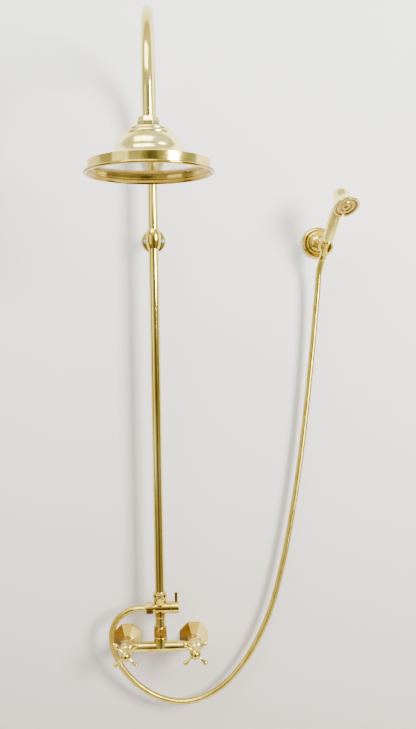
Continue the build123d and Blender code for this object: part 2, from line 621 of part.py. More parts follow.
def holder_cradle():
    """Stem, knuckle and the slotted conical cup that holds the hose's end nut."""
    wall = off_wall(HOLDER_X, HOLDER_Z)
    stem = ring(0, 3.9, 1, 7.5, wall) + ring(0, 6.5, 7.1, 40, wall)
    stem += turned([(0, 18.8), (9.2, 18.8), (9.9, 21.5, VIA), (9.2, 24.2), (0, 24.2)], wall)
    knuckle_at = Vector(HOLDER_X, -40.0, HOLDER_Z)
    knuckle = Pos(*knuckle_at) * Sphere(8.4)
    reach = CRADLE_CENTRE - knuckle_at
    arm = ring(0, 5.6, 0, reach.length - 6, Plane(knuckle_at, z_dir=reach))
    cup = turned([(0, -10), (13.2, -10), (14.0, -9), (15.4, 7, VIA), (14.6, 9), (0, 9)], HANDLE)
    side = HANDLE_AXIS.cross(Vector(0, -1, 0)).normalized()
    front = side.cross(HANDLE_AXIS).normalized()
    slot_plane = Plane(CRADLE_CENTRE, x_dir=side, z_dir=HANDLE_AXIS)
    slot_way = 1 if slot_plane.y_dir.dot(front) > 0 else -1
    slot = slot_plane.location * Pos(0, slot_way * 20, 0) * Box(15.6, 40, 60)
    slope = (11.4 - 8.8) / (10 - CONE_LOW - 1)
    seat_low = 8.8 + slope * (-14 - CONE_LOW - 1) + CLEAR
    seat_high = 8.8 + slope * (14 - CONE_LOW - 1) + CLEAR
    seat = turned([(0, -14), (seat_low, -14), (seat_high, 14), (0, 14)], HANDLE)
    return (stem + knuckle + arm + cup) - seat - slot


# ------------------------------------------------------------------ hose
def corner_radii(points):
    """Each corner's arc: 0.45 of its shorter run, over the tangent of half its turn."""
    radii = []
    for before, here, after in zip(points, points[1:], points[2:]):
        run_in = here - before
        run_out = after - here
        half_turn = math.radians(run_in.get_angle(run_out)) / 2
        radii.append(0.45 * min(run_in.length, run_out.length) / math.tan(half_turn))
    return radii


def hose_points():
    """The route by hand, then straight up the handle's axis into the ferrule at the hand shower."""
    tail = [CRADLE_CENTRE + HANDLE_AXIS * along for along in (HOSE_END_AT - 24.0, HOSE_END_AT)]
    return [Vector(*point) for point in HOSE_ROUTE] + tail


def hose_tube():
    """Metal hose as straight runs joined by tangent arcs."""
    points = hose_points()
    path = FilletPolyline(*points, radius=corner_radii(points))
    section = Plane(points[0], z_dir=points[1] - points[0]) * Circle(HOSE_R)
    return sweep(section, path)


def hose_inlet_nut():
    """Hexagonal nut on the diverter's nipple."""
    nut = prism(polygon_radius(22.6, 6), 6, 0, -30, -15.3, DIVERTER)
    nut = nut & chamfered(0, 13.0, -30, -15.3, 1.0, DIVERTER)
    return nut - turned([(0, -31), (8.4, -31), (8.4, -28.6), (9.5, -28.6), (9.5, -15), (0, -15)], DIVERTER)


def hose_inlet_ferrule():
    """Crimped sleeve with a collar inside the nut."""
    corners = [(5.0, HOSE_INLET_X), (7.4, HOSE_INLET_X), (7.9, HOSE_INLET_X + 1), (7.9, -32), (8.3, -31)]
    return turned(corners + [(8.3, -28.5), (9.3, -28.5), (9.3, -27.5), (5.0, -27.5)], DIVERTER)


def hose_end_ferrule():
    """Crimped sleeve below the conical nut."""
    corners = [(5.0, HOSE_END_AT), (7.5, HOSE_END_AT), (8.0, HOSE_END_AT + 1), (8.0, CONE_LOW)]
    return turned(corners + [(5.9, CONE_LOW), (5.9, 2), (5.0, 2)], HANDLE)


# ------------------------------------------------------------------ build
os.makedirs("parts", exist_ok=True)

for side, x in SIDES.items():
    wall = off_wall(x, 0)
    save(side + "_inlet_connector", inlet_connector(wall))
    save(side + "_escutcheon", escutcheon(wall))
    save(side + "_union_nut", union_nut(wall))
    save(side + "_headwork", headwork(wall))
    save(side + "_moving_disc", ceramic_disc(wall, DISC_AT + DISC_THICK + 0.05, 8.2))
    save(side + "_spindle", spindle(wall))
    save(side + "_handle", cross_handle(wall))
    save(side + "_handle_screw", handle_screw(wall))
    save(side + "_index_cap", index_cap(wall))

walls = [off_wall(x, 0) for x in SIDES.values()]
save("inlet_washers", group(inlet_washer(wall) for wall in walls))
save("fixed_discs", group(ceramic_disc(wall, DISC_AT, 9.9) for wall in walls))
save("valve_body", valve_body())

save("outlet_union_nut", outlet_union_nut())
save("outlet_washer", outlet_washer())
save("extension_tube", extension_tube())
save("diverter_body", diverter_body())
save("diverter_sleeve", diverter_sleeve())
save("diverter_spool", diverter_spool())
save("diverter_knob", diverter_knob())
save("diverter_lever", diverter_lever())
save("compression_nut", compression_nut())
save("compression_olive", compression_olive())

save("riser_pipe", riser_pipe())
save("swan_neck", swan_neck())
save("bracket_flange", bracket_flange())
save("bracket_collar", bracket_collar())
bracket_screws = [wood_screw(x, BRACKET_Z, BRACKET_SEAT, 28) for x in (-SCREW_OFFSET, SCREW_OFFSET)]
save("bracket_screws", group(bracket_screws))

save("arm_ball", arm_ball())
save("ball_seat_washer", ball_seat_washer())
save("swivel_nut", hung(swivel_nut()))
save("head_shell", hung(head_shell()))
save("head_rim", hung(head_rim()))
save("head_gasket", hung(head_gasket()))
save("nozzle_plate", hung(nozzle_plate()))

save("handset_tail", handset_tail())
save("handset_handle", handset_handle())
save("handset_head", handset_head())
save("handset_face", handset_face())
save("face_screw", face_screw())
save("holder_base", holder_base())
holder_screws = [wood_screw(HOLDER_X + x, HOLDER_Z, 3.0, 28) for x in (-15.0, 15.0)]
save("holder_screws", group(holder_screws))
save("holder_flange", holder_flange())
save("holder_cradle", holder_cradle())
save("grub_screws", grub_screws())

save("hose_tube", hose_tube())
save("hose_inlet_nut", hose_inlet_nut())
save("hose_inlet_ferrule", hose_inlet_ferrule())
save("hose_inlet_washer", ring(4.8, 9.2, -27.5, -25.5, DIVERTER))
save("hose_end_nut", hose_end_nut())
save("hose_end_ferrule", hose_end_ferrule())
save("hose_end_washer", ring(5.0, 8.6, 4.1, 5.9, HANDLE))
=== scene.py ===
import json
import math

import bmesh
import bpy
from mathutils import Matrix, Vector
from mathutils.geometry import tessellate_polygon


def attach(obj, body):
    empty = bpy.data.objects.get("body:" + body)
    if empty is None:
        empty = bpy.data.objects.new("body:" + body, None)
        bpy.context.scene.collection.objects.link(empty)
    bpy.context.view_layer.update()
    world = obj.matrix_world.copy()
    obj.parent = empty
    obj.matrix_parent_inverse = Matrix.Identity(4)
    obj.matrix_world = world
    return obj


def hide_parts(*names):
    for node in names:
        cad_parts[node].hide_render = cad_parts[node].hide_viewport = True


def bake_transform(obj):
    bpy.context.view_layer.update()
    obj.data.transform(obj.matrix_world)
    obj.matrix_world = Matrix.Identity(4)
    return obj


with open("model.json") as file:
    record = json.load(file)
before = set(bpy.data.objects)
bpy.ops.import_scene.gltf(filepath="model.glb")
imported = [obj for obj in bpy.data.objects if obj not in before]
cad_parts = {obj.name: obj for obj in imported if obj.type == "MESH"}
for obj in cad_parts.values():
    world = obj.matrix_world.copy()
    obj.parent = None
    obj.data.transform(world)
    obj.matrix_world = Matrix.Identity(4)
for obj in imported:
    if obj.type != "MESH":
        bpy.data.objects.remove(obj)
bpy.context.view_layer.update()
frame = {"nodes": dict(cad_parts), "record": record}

nodes = frame["nodes"]

# Frame: metres, X right, +Y into the wall, Z up; the wall's surface is Y = 0.
AXIS_OUT = 0.060        # riser's axis, out from the wall
CRADLE = Vector((0.3708, -0.0700, 0.8712))
HANDLE_AXIS = Vector((0.204, -0.45, 0.869)).normalized()
FACE_NORMAL = Vector((0.200, -0.560, -0.804)).normalized()
ELBOW_AT = 0.1170       # from the cradle along the handle to the bend of the hand shower
FACE_OUT = 0.0335       # from that bend to the edge of the spray face
FACE_CENTRE = CRADLE + HANDLE_AXIS * ELBOW_AT + FACE_NORMAL * FACE_OUT


# ------------------------------------------------------------------ camera
CAMERA_AT = (0.0277, -1.9977, 0.7326)
YAW, PITCH, ROLL = (math.radians(a) for a in (2.53, 3.31, -0.84))
LENS = 44.24


def make_camera():
    """Seen from the room, a little right of the riser, looking slightly down with a slight roll."""
    forward = Vector((math.sin(YAW) * math.cos(PITCH), math.cos(YAW) * math.cos(PITCH), -math.sin(PITCH)))
    right = Vector((math.cos(YAW), -math.sin(YAW), 0))
    up = right.cross(forward)
    turned_right = math.cos(ROLL) * right + math.sin(ROLL) * up
    turned_up = -math.sin(ROLL) * right + math.cos(ROLL) * up
    data = bpy.data.cameras.new("camera")
    data.sensor_fit = "VERTICAL"
    data.sensor_height = 36.0
    data.lens = LENS
    data.clip_start = 0.05
    data.clip_end = 50
    camera = bpy.data.objects.new("camera", data)
    bpy.context.scene.collection.objects.link(camera)
    rotation = Matrix((turned_right, turned_up, -forward)).transposed().to_4x4()
    camera.matrix_world = Matrix.Translation(CAMERA_AT) @ rotation
    bpy.context.scene.camera = camera


make_camera()


# ------------------------------------------------------------------ node helpers
def new_material(name):
    material = bpy.data.materials.new(name)
    material.use_nodes = True
    tree = material.node_tree
    return material, tree, tree.nodes["Principled BSDF"]


def noise(tree, scale, detail=4.0, roughness=0.5, stretch=(1, 1, 1)):
    """Noise in the object's own coordinates, which are the row frame's."""
    place = tree.nodes.new("ShaderNodeTexCoord")
    mapping = tree.nodes.new("ShaderNodeMapping")
    mapping.inputs["Scale"].default_value = stretch
    texture = tree.nodes.new("ShaderNodeTexNoise")
    texture.inputs["Scale"].default_value = scale
    texture.inputs["Detail"].default_value = detail
    texture.inputs["Roughness"].default_value = roughness
    tree.links.new(place.outputs["Object"], mapping.inputs["Vector"])
    tree.links.new(mapping.outputs["Vector"], texture.inputs["Vector"])
    return texture.outputs["Fac"]


def object_height(tree):
    """Height of the shaded point, in metres above the inlets."""
    place = tree.nodes.new("ShaderNodeTexCoord")
    split = tree.nodes.new("ShaderNodeSeparateXYZ")
    tree.links.new(place.outputs["Object"], split.inputs["Vector"])
    return split.outputs["Z"]


def map_range(tree, value, low, high):
    """The value as a share of the way from low to high."""
    node = tree.nodes.new("ShaderNodeMapRange")
    node.inputs["From Min"].default_value = low
    node.inputs["From Max"].default_value = high
    tree.links.new(value, node.inputs["Value"])
    return node.outputs["Result"]


def ramp(tree, value, stops):
    """Colour ramp from (position, colour) stops; a number stands for a grey."""
    node = tree.nodes.new("ShaderNodeValToRGB")
    elements = node.color_ramp.elements
    while len(elements) < len(stops):
        elements.new(0.5)
    for element, (position, colour) in zip(elements, stops):
        element.position = position
        if not hasattr(colour, "__len__"):
            colour = (colour, colour, colour)
        element.color = (*colour, 1)
    tree.links.new(value, node.inputs["Fac"])
    return node.outputs["Color"]


def multiplied(tree, colour, tone):
    mix = tree.nodes.new("ShaderNodeMix")
    mix.data_type = "RGBA"
    mix.blend_type = "MULTIPLY"
    mix.inputs["Factor"].default_value = 1.0
    tree.links.new(colour, mix.inputs["A"])
    tree.links.new(tone, mix.inputs["B"])
    return mix.outputs["Result"]


def bump(tree, height, strength, distance, normal=None):
    node = tree.nodes.new("ShaderNodeBump")
    node.inputs["Strength"].default_value = strength
    node.inputs["Distance"].default_value = distance
    tree.links.new(height, node.inputs["Height"])
    if normal is not None:
        tree.links.new(normal, node.inputs["Normal"])
    return node.outputs["Normal"]


def soft_edges(tree, radius):
    """Rounds the shading of machined edges."""
    node = tree.nodes.new("ShaderNodeBevel")
    node.samples = 4
    node.inputs["Radius"].default_value = radius
    return node.outputs["Normal"]


# ------------------------------------------------------------------ tones laid over the brass: painted shade, painted facet light and turned rings
def painted_shade_below(tree, colour, low, high, factor):
    """Painted shade: the colour darkens towards the lower edge, between two heights in metres."""
    share = map_range(tree, object_height(tree), low, high)
    return multiplied(tree, colour, ramp(tree, share, [(0.0, factor), (1.0, (1, 1, 1))]))


def painted_facet_light(tree, colour):
    """Painted light and shade on ground facets by side, brightest at the upper right, with painted
    reflections that change at random from facet to facet.
    """
    normal = tree.nodes.new("ShaderNodeNewGeometry").outputs["True Normal"]
    side = tree.nodes.new("ShaderNodeVectorMath")
    side.operation = "DOT_PRODUCT"
    side.inputs[1].default_value = (0.62, 0.0, 0.30)
    tree.links.new(normal, side.inputs[0])
    snap = tree.nodes.new("ShaderNodeVectorMath")
    snap.operation = "SNAP"
    snap.inputs[1].default_value = (0.3, 0.3, 0.3)
    tree.links.new(normal, snap.inputs[0])
    chance = tree.nodes.new("ShaderNodeTexWhiteNoise")
    tree.links.new(snap.outputs["Vector"], chance.inputs["Vector"])
    spread = tree.nodes.new("ShaderNodeMath")
    spread.operation = "MULTIPLY_ADD"
    spread.inputs[1].default_value = 0.75
    tree.links.new(chance.outputs["Value"], spread.inputs[0])
    tree.links.new(side.outputs["Value"], spread.inputs[2])
    shift = tree.nodes.new("ShaderNodeMath")
    shift.inputs[1].default_value = 0.10
    tree.links.new(spread.outputs[0], shift.inputs[0])
    # painted tones: dark for facets turned from the light, a bluish-white painted highlight at the top stop
    tone = ramp(tree, shift.outputs[0], [
        (0.0, (0.22, 0.13, 0.03)), (0.22, (0.36, 0.23, 0.07)), (0.40, (0.66, 0.50, 0.24)),
        (0.55, (0.90, 0.78, 0.48)), (0.75, (1.15, 1.2, 1.5)),
    ])
    return multiplied(tree, colour, tone)


RINGS_REACH = 0.030     # radius that the turned rings' tones are spread over


def by_radius(tree, colour, centre, stops):
    """Turned rings: the tone changes with the distance in millimetres from a centre."""
    place = tree.nodes.new("ShaderNodeTexCoord")
    away = tree.nodes.new("ShaderNodeVectorMath")
    away.operation = "DISTANCE"
    away.inputs[1].default_value = centre
    tree.links.new(place.outputs["Object"], away.inputs[0])
    share = map_range(tree, away.outputs["Value"], 0.0, RINGS_REACH)
    tones = ramp(tree, share, [(mm / 1000 / RINGS_REACH, tone) for mm, tone in stops])
    return multiplied(tree, colour, tones)


# ------------------------------------------------------------------ materials
def brass(name, colours, rough=(0.08, 0.2), wave=0.04, stretch=(1, 1, 1), edge=0.0004,
          facets=False, painted_shade_band=None, rings=None):
    """Polished brass: cloudy tarnish, hand-polished waviness and fine scratches."""
    material, tree, shader = new_material(name)
    shader.inputs["Metallic"].default_value = 1.0
    dark, mid, light = colours
    clouds = noise(tree, 28, 5, 0.6, stretch)
    colour = ramp(tree, clouds, [(0.32, dark), (0.5, mid), (0.7, light)])
    # painted light and shade on the facets, by the side each faces
    if facets:
        colour = painted_facet_light(tree, colour)
    # painted shade, darker towards the lower edge between two heights
    if painted_shade_band:
        colour = painted_shade_below(tree, colour, *painted_shade_band)
    if rings:
        colour = by_radius(tree, colour, *rings)
    tree.links.new(colour, shader.inputs["Base Color"])
    smears = noise(tree, 90, 6, 0.65, stretch)
    tree.links.new(ramp(tree, smears, [(0.3, rough[0]), (0.75, rough[1])]), shader.inputs["Roughness"])
    normal = soft_edges(tree, edge)
    normal = bump(tree, noise(tree, 55, 2, 0.4), wave, 0.002, normal)
    normal = bump(tree, noise(tree, 1400, 3, 0.6), 0.05, 0.0002, normal)
    tree.links.new(normal, shader.inputs["Normal"])
    return material


def plain(name, dark, light, rough, metallic=0.0, scale=60, bump_strength=0.05):
    """Even surface with faint mottling in its tone, gloss and relief."""
    material, tree, shader = new_material(name)
    shader.inputs["Metallic"].default_value = metallic
    tone = ramp(tree, noise(tree, scale), [(0.3, dark), (0.7, light)])
    tree.links.new(tone, shader.inputs["Base Color"])
    gloss = ramp(tree, noise(tree, scale * 3), [(0.3, rough[0]), (0.7, rough[1])])
    tree.links.new(gloss, shader.inputs["Roughness"])
    tree.links.new(bump(tree, noise(tree, scale * 12), bump_strength, 0.0003), shader.inputs["Normal"])
    return material


GOLD = brass("brass_gold", ((0.44, 0.31, 0.03), (0.63, 0.48, 0.07), (0.80, 0.65, 0.18)))
TUBE = brass("brass_tube", ((0.56, 0.42, 0.06), (0.71, 0.57, 0.12), (0.82, 0.69, 0.22)), (0.07, 0.16), 0.02,
             stretch=(1, 1, 0.15))
# Rim brass with painted shade, darker towards the lower lip.
RIM_PAINTED_SHADE = brass("brass_rim_painted_shade", ((0.50, 0.37, 0.05), (0.66, 0.51, 0.10), (0.78, 0.65, 0.19)), (0.10, 0.2), 0.02,
            painted_shade_band=(0.9775, 0.9835, (0.60, 0.50, 0.26)))
PALE = brass("brass_pale", ((0.80, 0.64, 0.15), (0.91, 0.78, 0.25), (0.97, 0.88, 0.40)), (0.12, 0.22), 0.03)
COPPERY = brass("brass_coppery", ((0.26, 0.14, 0.03), (0.42, 0.26, 0.06), (0.62, 0.46, 0.14)),
                (0.12, 0.28), 0.05)
CAST = brass("brass_cast", ((0.48, 0.35, 0.04), (0.68, 0.53, 0.10), (0.84, 0.71, 0.24)), (0.09, 0.2), 0.10)
# Escutcheon brass with painted light and shade on its facets, by side.
FACETS_PAINTED_LIGHT = brass("brass_facets_painted_light", ((0.60, 0.45, 0.06), (0.74, 0.59, 0.13), (0.86, 0.72, 0.24)),
               (0.09, 0.2), 0.04, facets=True)
HOSE = brass("brass_hose", ((0.46, 0.34, 0.04), (0.55, 0.43, 0.07), (0.63, 0.51, 0.11)), (0.16, 0.24), 0.0,
             edge=0.0001)
NUT = brass("brass_nut", ((0.20, 0.12, 0.02), (0.34, 0.23, 0.04), (0.52, 0.39, 0.08)), (0.1, 0.2), 0.04)
SATIN = brass("brass_satin", ((0.82, 0.61, 0.12), (0.93, 0.75, 0.20), (0.98, 0.85, 0.32)),
              (0.30, 0.40), 0.02, stretch=(3, 3, 0.1))
SCREW = brass("brass_screw", ((0.05, 0.015, 0.006), (0.14, 0.05, 0.015), (0.26, 0.12, 0.03)),
              (0.2, 0.35), 0.04)
CUT = brass("brass_cut", ((0.58, 0.42, 0.05), (0.74, 0.57, 0.11), (0.88, 0.73, 0.22)), (0.20, 0.30), 0.03)
WARM = brass("brass_warm", ((0.50, 0.31, 0.03), (0.70, 0.48, 0.07), (0.84, 0.65, 0.17)), (0.10, 0.2), 0.05)
# Hose inlet nut brass with painted shade: bright top, dark below it.
INLET_PAINTED_SHADE = brass("brass_inlet_nut_painted_shade", ((0.42, 0.29, 0.04), (0.58, 0.43, 0.09), (0.74, 0.60, 0.18)),
              (0.16, 0.26), 0.04, painted_shade_band=(0.0890, 0.0950, (0.12, 0.075, 0.03)))
FACE_RINGS = (
    (0, (0.25, 0.10, 0.06)), (4, (0.40, 0.22, 0.10)),
    (5.5, (0.95, 0.80, 0.55)), (9, (0.95, 0.82, 0.55)),
    (10.5, (0.32, 0.24, 0.09)), (12.5, (0.36, 0.27, 0.10)),
    (14, (1.0, 0.94, 0.72)), (19, (0.95, 0.88, 0.62)),
    (20.5, (0.30, 0.23, 0.08)), (23.5, (0.34, 0.27, 0.10)),
    (25.5, (0.95, 0.85, 0.50)), (29, (0.50, 0.39, 0.14)),
)
FACE = brass("brass_face", ((0.34, 0.26, 0.05), (0.46, 0.36, 0.09), (0.60, 0.49, 0.16)), (0.12, 0.22), 0.05,
             rings=(tuple(FACE_CENTRE), FACE_RINGS))
MIRROR = plain("plate_mirror", (0.74, 0.69, 0.56), (0.84, 0.80, 0.69), (0.08, 0.14), 1.0, 20, 0.01)
CERAMIC = plain("ceramic", (0.82, 0.80, 0.76), (0.90, 0.89, 0.86), (0.15, 0.25))
RUBBER = plain("rubber", (0.015, 0.015, 0.016), (0.035, 0.035, 0.036), (0.5, 0.7))
STEEL = plain("steel", (0.42, 0.42, 0.43), (0.62, 0.62, 0.62), (0.2, 0.35), 1.0)

NODES_IN = (
    (TUBE, ("riser_pipe", "swan_neck", "arm_ball")),
    (PALE, ("head_shell", "swivel_nut", "handset_head")),
    (RIM_PAINTED_SHADE, ("head_rim",)),
    (MIRROR, ("nozzle_plate",)),
    (SATIN, ("handset_handle",)),
    (FACE, ("handset_face",)),
    (SCREW, ("face_screw",)),
    (CAST, ("valve_body", "hot_handle", "cold_handle", "hot_headwork", "cold_headwork")),
    (FACETS_PAINTED_LIGHT, ("hot_escutcheon", "cold_escutcheon")),
    (COPPERY, ("outlet_union_nut", "compression_olive")),
    (NUT, ("hot_handle_screw", "cold_handle_screw", "diverter_lever")),
    (WARM, ("diverter_body", "extension_tube")),
    (INLET_PAINTED_SHADE, ("hose_inlet_nut",)),
    (HOSE, ("hose_tube",)),
)
BY_NODE = {name: material for material, names in NODES_IN for name in names}
BY_SLOT = {"ceramic": CERAMIC, "rubber_seal": RUBBER, "steel_fixing": STEEL}


def dress_nodes():
    """One material on each CAD node, by its name or else by its record slot."""
    slot_of = {part["node"]: part["material_slot"] for part in frame["record"]["subparts"]}
    for name, node in nodes.items():
        material = BY_NODE.get(name) or BY_SLOT.get(slot_of[name], GOLD)
        node.data.materials.clear()
        node.data.materials.append(material)


dress_nodes()


# ------------------------------------------------------------------ mesh helpers
def circle_angles(count, turn=0.0):
    """Evenly spaced angles round a circle, turned on by a share of one step."""
    return [2 * math.pi * (k + turn) / count for k in range(count)]


def skin(mesh_data, rings):
    """Quads from each ring of vertices to the next."""
    for low, high in zip(rings, rings[1:]):
        around = len(low)
        for k in range(around):
            mesh_data.faces.new((low[k], low[(k + 1) % around], high[(k + 1) % around], high[k]))


def finish_mesh(name, mesh_data, material, sharp_degrees):
    """Turns a bmesh into an object with smooth shading and a material."""
    bmesh.ops.remove_doubles(mesh_data, verts=mesh_data.verts, dist=1e-7)
    bmesh.ops.recalc_face_normals(mesh_data, faces=mesh_data.faces)
    mesh = bpy.data.meshes.new(name)
    mesh_data.to_mesh(mesh)
    mesh_data.free()
    mesh.shade_smooth()
    mesh.set_sharp_from_angle(angle=math.radians(sharp_degrees))
    mesh.materials.append(material)
    piece = bpy.data.objects.new(name, mesh)
    bpy.context.scene.collection.objects.link(piece)
    return piece


# ------------------------------------------------------------------ hose
HOSE_DIAMETER = 0.014
HOSE_END_AT = -0.031    # from the cradle along the handle
HOSE_RUN_IN = 0.024     # straight stretch into the end ferrule
HOSE_PITCH = 0.0042     # one turn of the winding
HOSE_GROOVE = 0.00055   # depth between the turns
HOSE_GROOVE_HALF = 0.22     # half the groove's width, as a share of the pitch
HOSE_ROUTE = [
    (-0.0340, -0.0600, 0.0870),
    (-0.0560, -0.0600, 0.0870),
    (-0.0795, -0.0590, 0.0775),
    (-0.0975, -0.0570, 0.0595),
    (-0.1070, -0.0545, 0.0360),
    (-0.1075, -0.0515, 0.0060),
    (-0.0980, -0.0485, -0.0280),
    (-0.0780, -0.0455, -0.0635),
    (-0.0470, -0.0425, -0.0975),
    (-0.0050, -0.0400, -0.1250),
    (0.0440, -0.0380, -0.1375),
    (0.0950, -0.0360, -0.1295),
    (0.1430, -0.0340, -0.1010),
    (0.1840, -0.0325, -0.0560),
    (0.2190, -0.0310, 0.0000),
    (0.2485, -0.0295, 0.0665),
    (0.2710, -0.0280, 0.1470),
    (0.2920, -0.0270, 0.2450),
    (0.3135, -0.0260, 0.3720),
    (0.3320, -0.0265, 0.5120),
    (0.3468, -0.0300, 0.6550),
    (0.3550, -0.0340, 0.7480),
    (0.3586, -0.0386, 0.7960),
]


def hose_line():
    """Points along the hose's smooth line, read from a NURBS spline through the route."""
    route = [Vector(p) for p in HOSE_ROUTE]
    route += [CRADLE + HANDLE_AXIS * (HOSE_END_AT - HOSE_RUN_IN), CRADLE + HANDLE_AXIS * HOSE_END_AT]
    curve = bpy.data.curves.new("hose_line", "CURVE")
    curve.dimensions = "3D"
    curve.resolution_u = 40
    spline = curve.splines.new("NURBS")
    spline.points.add(len(route) - 1)
    for point, place in zip(spline.points, route):
        point.co = (*place, 1)
    spline.order_u = 3
    spline.use_endpoint_u = True
    holder = bpy.data.objects.new("hose_line", curve)
    line = bpy.data.meshes.new_from_object(holder)
    points = [v.co.copy() for v in line.vertices]
    bpy.data.meshes.remove(line)
    bpy.data.objects.remove(holder)
    bpy.data.curves.remove(curve)
    return points


def evenly(points, step):
    """The same line with points a constant step apart, and its length."""
    lengths = [0.0]
    for a, b in zip(points, points[1:]):
        lengths.append(lengths[-1] + (b - a).length)
    total = lengths[-1]
    count = max(2, round(total / step))
    out = []
    k = 0
    for i in range(count + 1):
        at = total * i / count
        while k < len(points) - 2 and lengths[k + 1] < at:
            k += 1
        span = lengths[k + 1] - lengths[k]
        out.append(points[k].lerp(points[k + 1], (at - lengths[k]) / span if span else 0))
    return out, total


def frames_along(points):
    """Two directions square to the line at each point, carried along without twist."""
    tangents = []
    for i in range(len(points)):
        before = points[max(0, i - 1)]
        after = points[min(len(points) - 1, i + 1)]
        tangents.append((after - before).normalized())
    normal = tangents[0].orthogonal().normalized()
    out = []
    for tangent in tangents:
        normal = (normal - tangent * normal.dot(tangent)).normalized()
        out.append((normal, tangent.cross(normal)))
    return out


def make_hose():
    """Interlocked metal hose: a helical ridge wound along the smooth line."""
    steps_a_turn = 6
    around = 24
    line, total = evenly(hose_line(), HOSE_PITCH / steps_a_turn)
    step = total / (len(line) - 1)
    mesh_data = bmesh.new()
    rings = []
    for i, (place, (side, other)) in enumerate(zip(line, frames_along(line))):
        ring = []
        for k, angle in enumerate(circle_angles(around)):
            phase = (i * step / HOSE_PITCH + k / around) % 1.0
            groove = max(0.0, 1 - abs(phase - 0.5) / HOSE_GROOVE_HALF)
            radius = HOSE_DIAMETER / 2 - HOSE_GROOVE * groove * groove * (3 - 2 * groove)
            out = side * math.cos(angle) + other * math.sin(angle)
            ring.append(mesh_data.verts.new(place + out * radius))
        rings.append(ring)
    skin(mesh_data, rings)
    mesh_data.faces.new(rings[0][::-1])
    mesh_data.faces.new(rings[-1])
    hose = finish_mesh("shower_hose", mesh_data, HOSE, 60)
    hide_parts("hose_tube")
    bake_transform(hose)


make_hose()


# ------------------------------------------------------------------ compression nut
NUT_SIDES = 8
# height, radius at the corners, and how far the ring is turned, as a share of one side
NUT_ROWS = (
    (0.1042, 0.0140, 0.0),
    (0.1064, 0.0147, 0.0),
    (0.1120, 0.0158, 0.5),
    (0.1180, 0.0152, 0.0),
    (0.1200, 0.0143, 0.5),
)
# radius and height of the lip's outline, from the nut's top face in to the bore
NUT_LIP = ((0.0136, 0.1200), (0.0141, 0.1204), (0.0141, 0.1226), (0.0137, 0.1230), (0.0108, 0.1230))
NUT_LIP_STEPS = 64


def ring_round_riser(mesh_data, radius, height, angles):
    places = [(radius * math.cos(a), -AXIS_OUT + radius * math.sin(a), height) for a in angles]
    return [mesh_data.verts.new(place) for place in places]


def make_compression_nut():
    """Octagonal nut whose sides are cut into diamond facets, with a thin round lip on top."""
    mesh_data = bmesh.new()
    rings = [ring_round_riser(mesh_data, radius, height, circle_angles(NUT_SIDES, turn + 0.5))
             for height, radius, turn in NUT_ROWS]
    for (_, _, turn_low), (_, _, turn_high), low, high in zip(NUT_ROWS, NUT_ROWS[1:], rings, rings[1:]):
        if turn_low == turn_high:
            skin(mesh_data, [low, high])
            continue
        ahead = 1 if turn_high < turn_low else 0
        for k in range(NUT_SIDES):
            after = (k + 1) % NUT_SIDES
            mesh_data.faces.new((low[k], low[after], high[(k + ahead) % NUT_SIDES]))
            mesh_data.faces.new((high[k], low[after], high[after]))
    skin(mesh_data, [ring_round_riser(mesh_data, radius, height, circle_angles(NUT_LIP_STEPS))
                     for radius, height in NUT_LIP])
    mesh_data.faces.new(rings[-1])
    mesh_data.faces.new(rings[0][::-1])
    nut = finish_mesh("compression_nut_facets", mesh_data, CUT, 12)
    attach(nut, "column")
    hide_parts("compression_nut")


make_compression_nut()


# ------------------------------------------------------------------ hand shower's rim
BEAD_RADIUS = 0.0272    # from the face's centre to the middle of the bead
BEAD_HALF_WIDTH = 0.0014
BEAD_HALF_HEIGHT = 0.0013


def make_face_rim():
    """Rounded gold bead round the edge of the spray face."""
    side = FACE_NORMAL.orthogonal().normalized()
    other = FACE_NORMAL.cross(side)
    mesh_data = bmesh.new()
    rings = []
    for angle in circle_angles(72):
        out = side * math.cos(angle) + other * math.sin(angle)
        ring = []
        for turn in circle_angles(12):
            across = out * (BEAD_RADIUS + BEAD_HALF_WIDTH * math.cos(turn))
            up = FACE_NORMAL * (BEAD_HALF_HEIGHT * math.sin(turn))
            ring.append(mesh_data.verts.new(FACE_CENTRE + across + up))
        rings.append(ring)
    skin(mesh_data, rings + rings[:1])
    bead = finish_mesh("handset_face_rim", mesh_data, FACE, 60)
    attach(bead, "handset")


make_face_rim()


# ------------------------------------------------------------------ stage
FLOOR_AT = -0.9
WALL_HALF_WIDTH = 4.0
WALL_TOP = 4.0
WALL_FRONT = -0.0002
FLOOR_HALF_WIDTH = 2.0
FLOOR_HALF_DEPTH = 1.5


def flat_mesh(name, points, faces, material):
    mesh = bpy.data.meshes.new(name)
    mesh.from_pydata(points, [], faces)
    mesh.materials.append(material)
    sheet = bpy.data.objects.new(name, mesh)
    bpy.context.scene.collection.objects.link(sheet)


